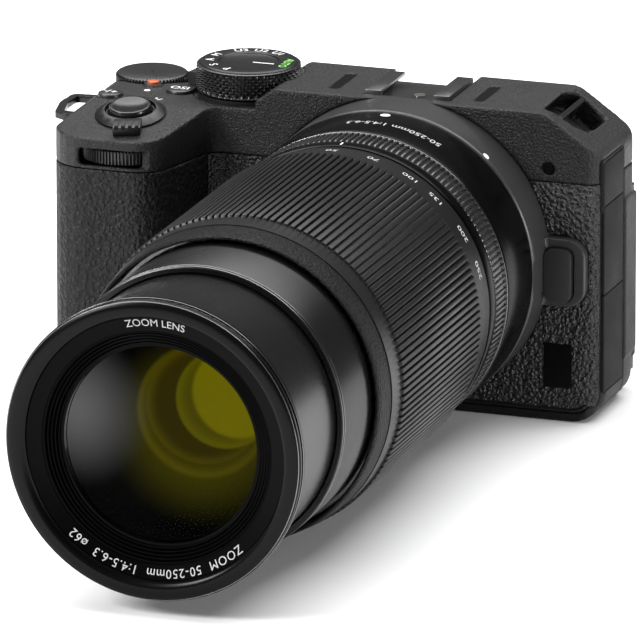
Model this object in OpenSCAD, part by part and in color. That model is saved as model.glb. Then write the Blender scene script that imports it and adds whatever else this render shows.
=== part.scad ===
// Compact system camera with a telescoping zoom lens.
// Millimetres, +Z up, front towards -Y. The origin is the mouth of the tripod socket.

/* [Body] */
// Width of the body without the strap lugs
body_w = 128; // [127:0.5:129]
// Height of the deck above the base
deck_z = 73.3; // [73:0.1:73.6]
// Thickness of the body's shells
wall = 2.2; // [2:0.1:2.4]

/* [Lens] */
// Outer radius of the rubber of the zoom ring
zoom_r = 37.1; // [36.9:0.1:37.3]
// Outer radius of the outer telescoping tube
tube_r = 33.6; // [33.2:0.1:33.6]
// Radius of the ring round the front glass
front_r = 34.3; // [34:0.1:34.4]
// Radius of the filter thread's crests
filter_r = 30.6; // [30.5:0.1:30.6]

/* [Controls] */
// Radius of the mode dial
mode_r = 12.4; // [12:0.1:12.4]
// Radius of the rear command dial
command_r = 8.6; // [8:0.1:8.6]
// Radius of the shutter button
shutter_r = 5; // [4.6:0.1:5]

/* [Screen] */
// Height of the screen's case
screen_h = 52; // [50:0.5:52]
// Thickness of the screen's case
screen_t = 8.3; // [7.5:0.1:8.3]

/* [Hidden] */

$fn = 96;
gap = 0.05;             // between parts that are fixed to each other
run = 0.1;              // between parts that move on each other
skin = 0.85;            // depth of the rubber and leather skins
arc_steps = 6;          // straight pieces in a rounded corner
left_x = -79.5;
right_x = left_x + body_w;
front_y = -13;
back_y = 14;
thumb_y = 19.5;         // back of the shoulder that carries the command dial
grip_y = -36.5;
split_y = 4;            // seam between the front and rear covers
base_t = 2;
seam_z = 57;            // lower edge of the top cover
plateau_z = 68;         // top of the grip
port_z = 62.6;          // top of the port panel
flange_y = -25;
axis_z = 37.8;          // optical axis above the base

// Plan of the body and of the top cover: x, y and corner radius
body_plan = [[right_x, back_y, 4], [left_x, back_y, 5], [left_x, grip_y, 10], [-52.5, grip_y, 8],
             [-46.5, front_y, 4], [right_x, front_y, 4.5]];
top_plan = [[right_x, back_y, 4], [-52, back_y, 3], [-56, thumb_y, 3], [left_x, thumb_y, 5],
            [left_x, grip_y, 10], [-52.5, grip_y, 8], [-46.5, front_y, 4], [right_x, front_y, 4.5]];
shoulder_x = 34.5;      // where the deck starts to fall to the right side
shoulder_z = 63.5;      // where that fall meets the side
shoulder_angle = atan((deck_z - shoulder_z) / (right_x - shoulder_x));
// Front view of the deck: x, z and corner radius
deck_profile = [[-95, 40, 1], [right_x + 0.02, 40, 1], [right_x + 0.02, shoulder_z, 4],
                [shoulder_x, deck_z, 5], [-31.5, deck_z, 3],
                [-38.5, plateau_z, 3], [-75.5, plateau_z, 5], [-95, 48.5, 1]];
// Side view of the grip's top: y, z and corner radius
front_slope = 10;       // degrees that the grip's top falls towards the front
slope_y = -15;          // where that fall starts
grip_profile = [[-60, 40, 1], [40, 40, 1], [40, 60.8, 1], [4, plateau_z, 12],
                [slope_y, plateau_z, 12], [-60, plateau_z - 45 * tan(front_slope), 1]];

shutter_at = [-63.3, -21.9, plateau_z - (-21.9 - slope_y) * -tan(front_slope)];
ev_at = [-72.2, -11.1];
iso_at = [-57.8, -2.9];
record_at = [-65.2, -0.9];
record_r = 1.4;
record_top = 69.6;
collar_r = 2.2;         // collar round the record button
collar_top = 69;
mode_at = [-42.6, 2];
command_at = [-69.1, 9.4];
front_dial_at = [-63.1, -25.2];
front_dial_r = 11;
key_z = 65.8;           // underside of the keys in the grip's top
button_top = 68.9;
mode_floor = 66.8;
mode_top = 75.6;
boss_r = 5.85;          // collar between the shutter button and the power lever

// Recess for the right strap lug, on the sloping shoulder: along the slope, y and corner radius
lug_plan = [[-6.6, -9.2, 1], [0.5, -7.8, 2], [4.2, -5.5, 2], [4.9, -1, 2], [4.9, 8.4, 1.5],
            [-1.7, 9.7, 2], [-4.3, 9.6, 2], [-6.8, 6, 2]];
lug_depth = 5.5;

shoe_front = -9.4;
shoe_back = 8.6;
shoe_top = 74.25;
shoe_w = 20.6;
shoe_slot_w = 18.6;
shoe_slot_h = 2.05;
shoe_throat = 12.7;
shoe_rail = 0.85;
shoe_floor = shoe_top - shoe_rail - shoe_slot_h;

throat_r = 27.5;
surround_r = 36.1;
flange_r = 33;
flange_t = 2;
surround_back = flange_y - (front_y + skin);   // along the lens axis, behind the flange
screw_circle = 30.2;
lock_hole_r = 1.35;
release_x = 39;
release_z = 35.9;
release_w = 6.6;
release_h = 12.6;
// Seat of the release button, seen from the front: x, z and corner radius
seat_plan = [[32, 28.1, 0.5], [45.2, 28.1, 4.5], [45.2, 44.3, 4.5], [32, 44.3, 0.5]];

door_x0 = -75;
door_x1 = -53.8;
door_y0 = -31;
door_y1 = 6;
door_pin = [-52.9, 0.95];
door_pin_r = 0.6;
latch_y0 = -16;
latch_y1 = -8;

port_y0 = -10.6;
port_t = 0.9;
port_hinge_y = split_y - 0.15 - port_t / 2;
socket_y = -0.9;
socket_y0 = socket_y - 3.9;
socket_y1 = socket_y + 3.9;
// Lower and upper edge of each port cover
port_edges = [[7, 30.2], [30.4, 51.4], [51.6, 62]];

screen_pin = [43.4, 18.4];
screen_pin_r = 1.2;
screen_x0 = -37;
screen_x1 = 39.7;
screen_y0 = 14.3;
screen_z0 = 3;
barrel_z0 = 7.8;
barrel_z1 = 46.2;
ear_h = 2.8;

side_key_x = -47;
side_key_r = 3;
play_z = 49;
menu_z = 9;
selector_at = [-55, 28];
selector_r = 9;
ok_r = 3.5;

guide_r = tube_r + gap;
guide_out = 34.4;
focus_s0 = 18.65;
index_s0 = 26.6;
zoom_s0 = 30.6;
rib_s0 = 41.6;
rib_s1 = 97;
lip_s = 110.15;
lip_r = 34.65;
guide_s1 = 104.5;
outer_s = 128.8;        // front of the outer tube at the shortest focal length
outer_len = 70;
inner_s = 156.4;        // back of the front ring at the same setting
inner_len = 75;
inner_out = 31.8;
inner_in = 30.2;
front_t = 4.25;
seat_r = 30.2;          // bore that holds the ring round the glass
glass_r = 22.45;
rear_glass_r = 15;

// ---- helpers ----

function unit(v) = v / norm(v);
function flat(p) = [p.x, p.y];
function left_normal(a, b) = let (e = unit(b - a)) [-e.y, e.x];
function before(pts, i) = flat(pts[(i + len(pts) - 1) % len(pts)]);
function after(pts, i) = flat(pts[(i + 1) % len(pts)]);
function turned(a) = a > 180 ? a - 360 : (a < -180 ? a + 360 : a);

// An outline moved inwards by d; it runs anticlockwise
function inset(pts, d) = [
    for (i = [0 : len(pts) - 1])
        let (a = before(pts, i), b = flat(pts[i]), c = after(pts, i),
             m = left_normal(a, b), k = left_normal(b, c),
             p = b + (m + k) / (1 + m * k) * d,
             inward = cross(b - a, c - b) > 0 ? -d : d)
        [p.x, p.y, max(0.2, pts[i].z + inward)]];

// The arc that rounds corner b, between a and c, to radius r
function corner(a, b, c, r) =
    let (u = unit(a - b), v = unit(c - b), half = acos(u * v) / 2,
         mid = b + unit(u + v) * r / sin(half),
         p = b + u * r / tan(half) - mid, q = b + v * r / tan(half) - mid,
         start = atan2(p.y, p.x), sweep = turned(atan2(q.y, q.x) - start))
    [for (i = [0 : arc_steps])
        mid + r * [cos(start + sweep * i / arc_steps), sin(start + sweep * i / arc_steps)]];

function rounded(pts) = [
    for (i = [0 : len(pts) - 1])
        each corner(before(pts, i), flat(pts[i]), after(pts, i), pts[i].z)];

// Points of a lens surface: radius r, edge at height z, crown of the given rise
function crown(r, z, rise, n = 8) = [
    for (i = [0 : n]) let (q = i / n) [r * (1 - q), z + rise * (1 - (1 - q) * (1 - q))]];

module slab(plan, z0, z1, d = 0)
    translate([0, 0, z0]) linear_extrude(z1 - z0) polygon(rounded(inset(plan, d)));

module box(a, b) translate(a) cube(b - a);

module on_axis() translate([0, flange_y, axis_z]) rotate([90, 0, 0]) children();

// A ring round the lens axis, from s0 to s1 ahead of the flange
module ring(r0, r1, s0, s1)
    on_axis() difference() {
        translate([0, 0, s0]) cylinder(h = s1 - s0, r = r1);
        translate([0, 0, s0 - 1]) cylinder(h = s1 - s0 + 2, r = r0);
    }

module lathe(pts) on_axis() rotate_extrude() polygon(pts);

module on_shutter() translate(shutter_at) rotate([front_slope, 0, 0]) children();

// Level with the sloping shoulder, z square to it
module on_shoulder()
    translate([shoulder_x + 4.5, 0, deck_z - 4.5 * tan(shoulder_angle)])
        rotate([0, shoulder_angle, 0]) children();

module disc(at, r, z0, z1) translate([at.x, at.y, z0]) cylinder(h = z1 - z0, r = r);

// A bar with round ends, w wide and l long along Y of its own plane
module stadium(w, l, h) {
    translate([-w / 2, -(l - w) / 2, 0]) cube([w, l - w, h]);
    for (side = [-1, 1]) translate([0, side * (l - w) / 2, 0]) cylinder(h = h, r = w / 2);
}

// A block with rounded corners, w wide and l long
module soft_block(w, l, r, h)
    linear_extrude(h) polygon(rounded([[w / 2, l / 2, r], [-w / 2, l / 2, r],
                                       [-w / 2, -l / 2, r], [w / 2, -l / 2, r]]));

module at_screws() for (a = [45 : 90 : 315]) rotate([0, 0, a]) translate([screw_circle, 0, 0]) children();

// ---- outer shells ----

// Outer form of the top cover, moved inwards by d
module deck_form(d)
    intersection() {
        slab(top_plan, 50, 80, d);
        translate([0, 60, 0]) rotate([90, 0, 0]) linear_extrude(120) polygon(rounded(inset(deck_profile, d)));
        union() {
            translate([-100, 0, 0]) rotate([90, 0, 90]) linear_extrude(64.5)
                polygon(rounded(inset(grip_profile, d)));
            box([-36, -60, 40], [60, 60, 80]);
        }
    }

module top_cover()
    color("#2b2b2c") difference() {
        union() {
            difference() {
                intersection() {
                    deck_form(0);
                    box([-100, -60, seam_z], [100, 60, 90]);
                }
                difference() {
                    deck_form(1.5);
                    disc(mode_at, mode_r + 2.2, mode_floor - 1.5, 90);
                    box([-shoe_w / 2 - 1.6, shoe_front - 1.8, shoe_floor - 2.4], [shoe_w / 2 + 1.6, 30, 90]);
                    disc(command_at, command_r + 1.6, 64.4, 90);
                    box([14.5, -9.4, 70.8], [18.7, 8.6, 90]);
                    box([-20.7, -9.4, 70.8], [-16.5, 8.6, 90]);
                    on_shoulder() translate([0, 0, -lug_depth - 1.3]) linear_extrude(20)
                        polygon(rounded(inset(lug_plan, -1.2)));
                }
            }
            on_shutter() translate([0, 0, -1]) cylinder(h = 2.2, r = boss_r);
            box([-66, grip_y + 1, 61.8], [-59.4, front_dial_at.y + 2, 62.8]);
            disc(front_dial_at, 1.5, 57.3, 62);
            disc(record_at, collar_r, plateau_z - 1, collar_top);
        }
        // clearance for the ring round the lens mount
        on_axis() translate([0, 0, surround_back - gap]) cylinder(h = 40, r = surround_r + gap);
        disc(mode_at, mode_r + 0.6, mode_floor, 90);
        disc(mode_at, 3 + gap, 60, 90);
        disc(command_at, command_r + 0.15, 66, 90);
        disc(command_at, 1.5 + gap, 60, 90);
        on_shutter() translate([0, 0, -4]) cylinder(h = 10, r = shutter_r + run);
        disc(ev_at, 2.9 + run, 60, 90);
        disc(iso_at, 3.1 + run, 60, 90);
        disc(record_at, record_r + run, 60, 90);
        box([-71, grip_y - 1, 57.9], [-54.4, grip_y + 2, 61.9]);
        box([-shoe_w / 2 - gap, shoe_front - gap, shoe_floor - 0.9], [shoe_w / 2 + gap, 30, 90]);
        for (x = [-18.6, 16.6])
            translate([x, -0.3, 72.1]) stadium(2.4, 14.2, 5);
        translate([35.5, front_y + 3, 60.2]) rotate([90, 0, 0]) cylinder(h = 6, r = 1.35);
        // notch over the port panel
        box([right_x - 2.9, port_y0 - 0.45, 50], [right_x + 1, split_y, port_z + gap]);
        on_shoulder() translate([0, 0, -lug_depth]) linear_extrude(20) polygon(rounded(lug_plan));
    }

module front_cover()
    color("#262627") difference() {
        union() {
            intersection() {
                union() {
                    slab(body_plan, base_t + gap, seam_z - gap, skin);
                    slab(body_plan, base_t + gap, 3);
                    intersection() {
                        slab(body_plan, base_t + gap, seam_z - gap);
                        box([right_x - 2.9, port_y0 - 0.4, 0], [60, 60, 60]);
                    }
                }
                box([-100, -60, 0], [100, split_y, 60]);
            }
            box([right_x - 2.8, port_y0 - 0.4, 50], [right_x, split_y - gap, port_z]);
        }
        slab(body_plan, 0, 90, wall);
        on_axis() {
            translate([0, 0, -20]) cylinder(h = 20, r = 32);
            translate([0, 0, surround_back - gap]) cylinder(h = 40, r = surround_r + gap);
        }
        // recess for the port covers, with a hole for each socket
        box([right_x - port_t - gap, port_y0 - 0.1, port_edges[0][0] - 0.2],
            [right_x + 1, split_y + 1, port_edges[2][1] + 0.2]);
        for (e = port_edges) {
            z = (e[0] + e[1]) / 2;
            box([right_x - 5, socket_y0 - 0.1, z - 3], [right_x, socket_y1 + 0.1, z + 3]);
        }
        // release button
        translate([release_x, 0, release_z]) rotate([90, 0, 0])
            soft_block(release_w + 0.4, release_h + 0.4, 2.2, 20);
    }

module rear_cover()
    color("#262627") difference() {
        union() {
            intersection() {
                slab(body_plan, base_t + gap, seam_z - gap);
                box([-100, split_y + gap, 0], [100, 60, 60]);
            }
            // raised panel beside the screen's hinge
            box([right_x - 1.5, split_y + 0.4, 11.4], [right_x + 0.4, back_y - 0.8, 49.5]);
        }
        slab(body_plan, 0, 90, wall);
        for (z = [play_z, menu_z])
            translate([side_key_x, 30, z]) rotate([90, 0, 0]) cylinder(h = 30, r = side_key_r + run);
        translate([selector_at.x, 30, selector_at.y]) rotate([90, 0, 0])
            cylinder(h = 30, r = selector_r + run);
    }

module base_plate()
    color("#1d1d1e") difference() {
        slab(body_plan, 0, base_t, 0.4);
        box([door_x0, door_y0, -1], [door_pin.x + 1.4, door_y1, 3]);
        disc([0, 0], 5 + gap, -1, 3);
        for (p = [[-40, -5], [-40, 3], [40, -5], [40, 3]]) {
            disc(p, 0.85, -1, 3);
            disc(p, 1.7, -1, 1.2);
        }
        // bottom of the ring round the mount
        on_axis() translate([0, 0, surround_back - gap]) cylinder(h = 40, r = surround_r + gap);
    }

module grip_rubber()
    color("#1b1b1c") intersection() {
        difference() {
            slab(body_plan, 3 + gap, seam_z - gap, 0);
            slab(body_plan, 0, 90, skin - gap);
        }
        box([-100, -60, 0], [-46.9, split_y - 0.1, 60]);
    }

module front_leather()
    color("#1b1b1c") difference() {
        intersection() {
            difference() {
                slab(body_plan, 3 + gap, seam_z - gap, 0);
                slab(body_plan, 0, 90, skin - gap);
            }
            box([-46.8, -60, 0], [60, port_y0 - 0.45, 60]);
        }
        on_axis() translate([0, 0, -20]) cylinder(h = 40, r = surround_r + gap);
        rotate([90, 0, 0]) linear_extrude(30) polygon(rounded(inset(seat_plan, -gap)));
    }

module thumb_rest()
    color("#1b1b1c") translate([0, 0, 40]) linear_extrude(seam_z - gap - 40)
        polygon(rounded([[-56, back_y + gap, 0.5], [-58, thumb_y, 3], [left_x + 0.5, thumb_y, 4],
                         [left_x + 0.5, back_y + gap, 0.5]]));

// ---- lens mount and inside of the body ----

module mount_surround()
    color("#3a3a3c") difference() {
        union() {
            on_axis() rotate_extrude() polygon([
                [throat_r + 0.1, surround_back], [surround_r, surround_back], [surround_r, -0.7],
                [surround_r - 0.6, -0.1], [flange_r + 0.1, -0.1], [flange_r + 0.1, -flange_t - gap],
                [throat_r + 0.1, -flange_t - gap]]);
            // seat of the release button
            difference() {
                translate([0, front_y + skin - gap, 0]) rotate([90, 0, 0]) linear_extrude(3.1)
                    polygon(rounded(seat_plan));
                on_axis() translate([0, 0, -30]) cylinder(h = 60, r = surround_r - 1);
            }
        }
        on_axis() at_screws() translate([0, 0, -9]) cylinder(h = 9, r = 0.92);
        on_axis() translate([screw_circle, 0, -20]) cylinder(h = 21, r = 1.2 + gap);
        translate([release_x, 0, release_z]) rotate([90, 0, 0])
            soft_block(release_w + 0.2, release_h + 0.2, 2.1, 30);
    }

module mount_flange()
    color("silver") difference() {
        ring(throat_r, flange_r, -flange_t, 0);
        on_axis() {
            at_screws() translate([0, 0, -3]) cylinder(h = 4, r = 0.92);
            at_screws() translate([0, 0, -1]) cylinder(h = 2, r = 1.65);
            translate([screw_circle, 0, -5]) cylinder(h = 6, r = 1.2 + gap);
        }
    }

module mount_screws()
    color("silver") on_axis() at_screws() {
        translate([0, 0, -8]) cylinder(h = 7.2, r = 0.9);
        translate([0, 0, -0.95]) cylinder(h = 0.85, r = 1.6);
    }

module contact_block()
    color("goldenrod") box([-5, -18.7, axis_z - 27.1], [5, -14.2, axis_z - 23.6]);

module shutter_unit()
    color("#202024") difference() {
        box([-20, -14, axis_z - 16], [20, -10.2, axis_z + 16]);
        box([-12.5, -15, axis_z - 8.5], [12.5, -9, axis_z + 8.5]);
    }

module sensor_unit()
    color("#3f4a63") {
        box([-19, -8.4, axis_z - 14.5], [19, -6.5, axis_z + 14.5]);
        box([-12, -9.3, axis_z - 8], [12, -8.4, axis_z + 8]);
    }

module chassis()
    color("#8a8d90") difference() {
        union() {
            box([-44, -3, 9], [34, -1, 54]);
            box([30, -3, 9], [43, -1, 14]);
            for (x = [-40, 40]) box([x - 3, -8, base_t + 0.1], [x + 3, 6, 9.1]);
            for (x = [-16, 16], z = [-12, 12])
                translate([x, -2.9, axis_z + z]) rotate([90, 0, 0]) cylinder(h = 3.55, r = 2);
        }
        for (p = [[-40, -5], [-40, 3], [40, -5], [40, 3]]) disc(p, 0.82, 0, 6);
        box([-12, -4, axis_z - 8], [12, 0, axis_z + 8]);
    }

module main_board()
    color("darkgreen") box([-40, 3.3, 12], [40, 4.7, 54]);

module battery()
    color("#303336") box([-74, -28, 4], [-60, 6, 44]);

module tripod_bush()
    color("silver") difference() {
        disc([0, 0], 5, 0, 8);
        disc([0, 0], 2.55, -1, 6);
    }

module case_screws()
    color("#111111") for (p = [[-40, -5], [-40, 3], [40, -5], [40, 3]]) {
        disc(p, 1.6, 0.3, 1.2);
        disc(p, 0.8, 1.15, 5.5);
    }

// ---- top fittings ----

module hot_shoe()
    color("#55565a") difference() {
        box([-shoe_w / 2, shoe_front, shoe_floor - 0.85], [shoe_w / 2, shoe_back, shoe_top]);
        box([-shoe_slot_w / 2, shoe_front + 1.2, shoe_floor],
            [shoe_slot_w / 2, 20, shoe_floor + shoe_slot_h]);
        box([-shoe_throat / 2, shoe_front - 1, shoe_floor], [shoe_throat / 2, 20, 90]);
    }

module shoe_contacts()
    color("goldenrod") {
        disc([0, 0], 1.4, shoe_floor, shoe_floor + 0.12);
        for (x = [-4.4, -2.2, 2.2, 4.4]) disc([x, -5.2], 0.8, shoe_floor, shoe_floor + 0.12);
    }

module mic_grilles()
    color("#17181a") for (x = [-18.6, 16.6]) translate([x, -0.3, 72.15]) stadium(2.3, 14.1, 0.8);

module tally_lamp()
    color("#402020") translate([35.5, front_y + 1.6, 60.2]) rotate([90, 0, 0]) cylinder(h = 1.8, r = 1.3);

// A flat eyelet that stands out along X, with its root at x = 0
module eyelet()
    difference() {
        linear_extrude(1.7) polygon(rounded([[0, -8.6, 0.5], [4.6, -9.2, 1.5], [7.6, -7.4, 1.5],
                                             [9.4, 1, 3], [9, 9, 2], [0, 10, 0.5]]));
        translate([0, 0, -1]) linear_extrude(4)
            polygon(rounded([[1.8, -6, 0.8], [5.6, -6.2, 0.8], [7.4, 1, 0.8],
                             [7.2, 7, 0.8], [1.8, 7.6, 0.8]]));
    }

module strap_lugs()
    color("#6b6d70") {
        translate([left_x - gap, -0.6, 60.3]) mirror([1, 0, 0]) eyelet();
        // staple across the recess in the right shoulder
        on_shoulder() {
            box([-3.1, -8, -1.9], [-1.9, 9.5, -0.3]);
            box([-3.1, -8, gap - lug_depth], [-1.9, -6.6, -1.8]);
            box([-3.1, 8.1, gap - lug_depth], [-1.9, 9.5, -1.8]);
        }
    }

module port_sockets()
    color("#8e9092") for (i = [0 : 2]) {
        z = (port_edges[i][0] + port_edges[i][1]) / 2;
        difference() {
            box([right_x - 13, socket_y0, z - 2.9], [right_x - 1.2, socket_y1, z + 2.9]);
            if (i == 2) translate([right_x - 11, socket_y, z]) rotate([0, 90, 0]) cylinder(h = 20, r = 1.8);
            if (i < 2) box([right_x - 9, socket_y - 3, z - 1.4], [right_x, socket_y + 3, z + 1.4]);
        }
    }

// ---- controls ----

module shutter_button()
    color("#48484b") on_shutter() rotate_extrude() polygon([[0, -1.5], [shutter_r, -1.5],
        [shutter_r, 2.2], [shutter_r - 0.5, 2.6], [shutter_r - 1.6, 2.45], [0, 2.15]]);

module power_lever()
    color("#3c3c3f") on_shutter() difference() {
        union() {
            rotate_extrude() polygon([[boss_r - 1, 0.15], [8.3, 0.15], [8.3, 0.5], [boss_r + 0.7, 1.7],
                                      [boss_r - 1, 1.7]]);
            rotate([0, 0, -75]) translate([6.6, -3.2, 0.15]) cube([5.2, 6.4, 1.9]);
        }
        translate([0, 0, -1]) cylinder(h = 4, r = boss_r + run);
    }

// A round key in the grip's top
module key(at, r, top) {
    disc(at, r, key_z, top - 0.35);
    translate([at.x, at.y, top - 0.35]) rotate_extrude()
        polygon([[0, 0], [r, 0], [r - 0.35, 0.35], [0, 0.35]]);
}

module ev_button() color("#2b2b2c") key(ev_at, 2.9, button_top);
module iso_button() color("#2b2b2c") key(iso_at, 3.1, button_top);
module record_button() color("#b5442c") key(record_at, record_r, record_top);

module mode_dial()
    color("#2b2b2c") translate([mode_at.x, mode_at.y, 0]) rotate_extrude()
        polygon([[0, 63], [3, 63], [3, 68.8], [mode_r - 1, 68.8], [mode_r, 69.3], [mode_r, mode_top - 0.7],
                 [mode_r - 0.9, mode_top], [7.2, mode_top], [6.8, mode_top - 0.4], [0, mode_top - 0.4]]);

module photo_video_lever()
    color("#2b2b2c") difference() {
        union() {
            disc(mode_at, mode_r - 0.6, mode_floor + 0.1, 68.5);
            translate([mode_at.x, mode_at.y, 0]) rotate([0, 0, 168]) {
                box([9, -2, mode_floor + 0.1], [mode_r + 0.35, 2, 68.5]);
                box([mode_r + 0.2, -2, 68.2], [mode_r + 3, 2, 71.2]);
            }
        }
        disc(mode_at, 3 + run, 60, 90);
    }

module command_dial()
    color("#2b2b2c") {
        disc(command_at, command_r, 66.15, 68.8);
        disc(command_at, 1.5, 62.5, 66.3);
    }

module front_dial()
    color("#2b2b2c") difference() {
        disc(front_dial_at, front_dial_r, 58.2, 61.5);
        disc(front_dial_at, 1.5 + gap, 50, 90);
    }

module lens_release_button()
    color("#222224") {
        translate([release_x, -7.5, release_z]) rotate([90, 0, 0]) soft_block(release_w, release_h, 2, 9.5);
        // bar that joins the button to the lock pin
        box([screw_circle + 1.0, -8.5, axis_z - 2.5], [release_x, -7.5, axis_z + 2.5]);
    }

module lock_pin()
    color("silver") difference() {
        translate([screw_circle, -7, axis_z]) rotate([90, 0, 0]) cylinder(h = 18.9, r = 1.2);
        box([screw_circle + 0.95, -8.55, 30], [50, -7, 50]);
    }

module battery_door()
    color("#1d1d1e") difference() {
        union() {
            box([door_x0 + 0.1, door_y0 + 0.1, 0.05], [door_x1, door_y1 - 0.1, 1.95]);
            box([door_x1 - 0.1, door_y0 + 2, 0.15], [door_pin.x, door_y1 - 2, 1.75]);
            translate([door_pin.x, door_y1 - 2, door_pin.y]) rotate([90, 0, 0])
                cylinder(h = door_y1 - door_y0 - 4, r = 0.9);
            translate([door_pin.x, door_y1 - 0.1, door_pin.y]) rotate([90, 0, 0])
                cylinder(h = door_y1 - door_y0 - 0.2, r = door_pin_r);
        }
        box([door_x0 + 1.5, latch_y0, -1], [door_x0 + 8.2, latch_y1, 3]);
    }

module door_latch()
    color("#2f3032") {
        box([door_x0 + 1.6, latch_y0 + 0.1, 0.15], [door_x0 + 5, latch_y1 - 0.1, 2.1]);
        box([door_x0 + 0.2, latch_y0 + 1, 2.05], [door_x0 + 4.9, latch_y1 - 1, 2.7]);
    }

// A rubber flap over a socket, with a rounded bead at its hinge
module port_cover(i)
    color("#1b1b1c") {
        box([right_x - port_t, port_y0, port_edges[i][0]], [right_x, port_hinge_y, port_edges[i][1]]);
        disc([right_x - port_t / 2, port_hinge_y], port_t / 2, port_edges[i][0], port_edges[i][1]);
    }

module port_cover_top() port_cover(2);
module port_cover_middle() port_cover(1);
module port_cover_low() port_cover(0);

// ---- screen and rear keys ----

module screen_hinge()
    color("#2b2b2c") {
        disc(screen_pin, screen_pin_r, barrel_z0 - 1, barrel_z1 + 1);
        for (z = [barrel_z0 - ear_h - 0.2, barrel_z1 + 0.2]) {
            disc(screen_pin, 3, z, z + ear_h);
            box([screen_pin.x - 2, back_y + gap, z], [screen_pin.x + 2, screen_pin.y, z + ear_h]);
        }
    }

module screen_case()
    color("#202021") difference() {
        union() {
            difference() {
                box([screen_x0, screen_y0, screen_z0],
                    [screen_x1, screen_y0 + screen_t, screen_z0 + screen_h]);
                // chamfer along the top
                translate([-60, screen_y0 + screen_t, screen_z0 + screen_h]) rotate([30, 0, 0])
                    translate([0, -10, -2.6]) cube([120, 20, 10]);
                box([screen_x0 + 3, screen_y0 + screen_t - 0.9, screen_z0 + 3],
                    [screen_x1 - 3, 30, screen_z0 + screen_h - 7]);
            }
            box([screen_x1 - 1, screen_pin.y - 2.2, barrel_z0],
                [screen_pin.x, screen_pin.y + 2.2, barrel_z1]);
            disc(screen_pin, 3.4, barrel_z0, barrel_z1);
        }
        disc(screen_pin, screen_pin_r + gap, 0, 90);
    }

module screen_glass()
    color("#101114") box([screen_x0 + 3.1, screen_y0 + screen_t - 0.85, screen_z0 + 3.1],
        [screen_x1 - 3.1, screen_y0 + screen_t - 0.05, screen_z0 + screen_h - 7.1]);

// A round key in the rear cover, at x and z
module rear_key(x, z, r, proud)
    translate([x, back_y + proud, z]) rotate([90, 0, 0]) cylinder(h = 3 + proud, r = r);

module play_button() color("#2b2b2c") rear_key(side_key_x, play_z, side_key_r, 1);
module menu_button() color("#2b2b2c") rear_key(side_key_x, menu_z, side_key_r, 1);
module multi_selector()
    color("#2b2b2c") difference() {
        rear_key(selector_at.x, selector_at.y, selector_r, 1.4);
        translate([selector_at.x, 30, selector_at.y]) rotate([90, 0, 0]) cylinder(h = 40, r = ok_r + run);
    }
module ok_button() color("#2b2b2c") rear_key(selector_at.x, selector_at.y, ok_r, 1.1);

// ---- lens ----

module lens_bayonet()
    color("silver") difference() {
        union() {
            ring(24, 32.5, gap, 2);
            ring(24, 26.8, -5.5, gap);
            ring(rear_glass_r + gap, 24.5, 0.5, 2);
        }
        on_axis() translate([screw_circle, 0, -1]) cylinder(h = 2.5, r = lock_hole_r);
    }

module lens_barrel()
    color("#111112") lathe([[32.6, gap], [35.4, gap], [36, 0.7], [36, 18.1], [35.6, focus_s0 - gap],
        [guide_out + 0.02, focus_s0 - gap], [guide_out + 0.02, 2.1], [32.6, 2.1]]);

module index_ring()
    color("#141415") ring(guide_out + 0.02, 35.7, index_s0, zoom_s0 - 0.1);

module guide_tube()
    color("#606266") ring(guide_r, guide_out, 2.15, guide_s1);

module rear_glass()
    color([0.7, 0.8, 0.85, 0.5]) lathe(concat([[0, -2.5], [rear_glass_r, 0.2]], crown(rear_glass_r, 3.5, 2)));

module focus_ring()
    color("#1a1a1b") ring(guide_out + gap, 35.8, focus_s0 + gap, index_s0 - 0.1);

module zoom_ring()
    color("#1a1a1b") lathe([[guide_out + run, zoom_s0], [35.4, zoom_s0], [36.5, rib_s0 - 0.6],
        [zoom_r, rib_s0], [zoom_r, rib_s1], [zoom_r - 0.7, rib_s1 + 0.3], [zoom_r - 0.9, 103.5],
        [35.4, lip_s], [lip_r, lip_s], [lip_r, guide_s1 + 0.3], [guide_out + run, guide_s1 + 0.1]]);

module tube_outer()
    color("#232325") ring(inner_out + gap, tube_r, outer_s - outer_len, outer_s);

module tube_inner()
    color("#232325") ring(inner_in, inner_out, inner_s - inner_len, inner_s);

module front_ring()
    color("#1c1c1e") lathe([[27, inner_s + gap], [front_r, inner_s + gap], [front_r, inner_s + 1.5],
        [front_r - 0.9, inner_s + 1.7], [front_r - 0.9, inner_s + 2.5], [front_r, inner_s + 2.7],
        [front_r, inner_s + 3.4], [32.5, inner_s + front_t], [filter_r, inner_s + front_t],
        [filter_r, inner_s + 1.95], [seat_r, inner_s + 1.95], [seat_r, inner_s + 0.5],
        [27, inner_s + 0.5]]);

module name_ring()
    color("#151516") lathe([[seat_r - 0.1, inner_s + 0.55], [seat_r - 0.1, inner_s + 1.9],
        [26.8, inner_s + 0.85], [glass_r + gap, inner_s - 1.4], [glass_r + gap, inner_s - 8],
        [25, inner_s - 8], [25, inner_s - 1], [26.6, inner_s + 0.55]]);

module front_glass()
    color([0.6, 0.7, 0.75, 0.5]) lathe(concat([[0, inner_s - 7.5], [glass_r, inner_s - 6]],
        crown(glass_r, inner_s - 1.6, 2.2)));

module aperture_unit()
    color("#2a2c30") ring(9, inner_in - gap, inner_s - 38, inner_s - 34);

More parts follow.
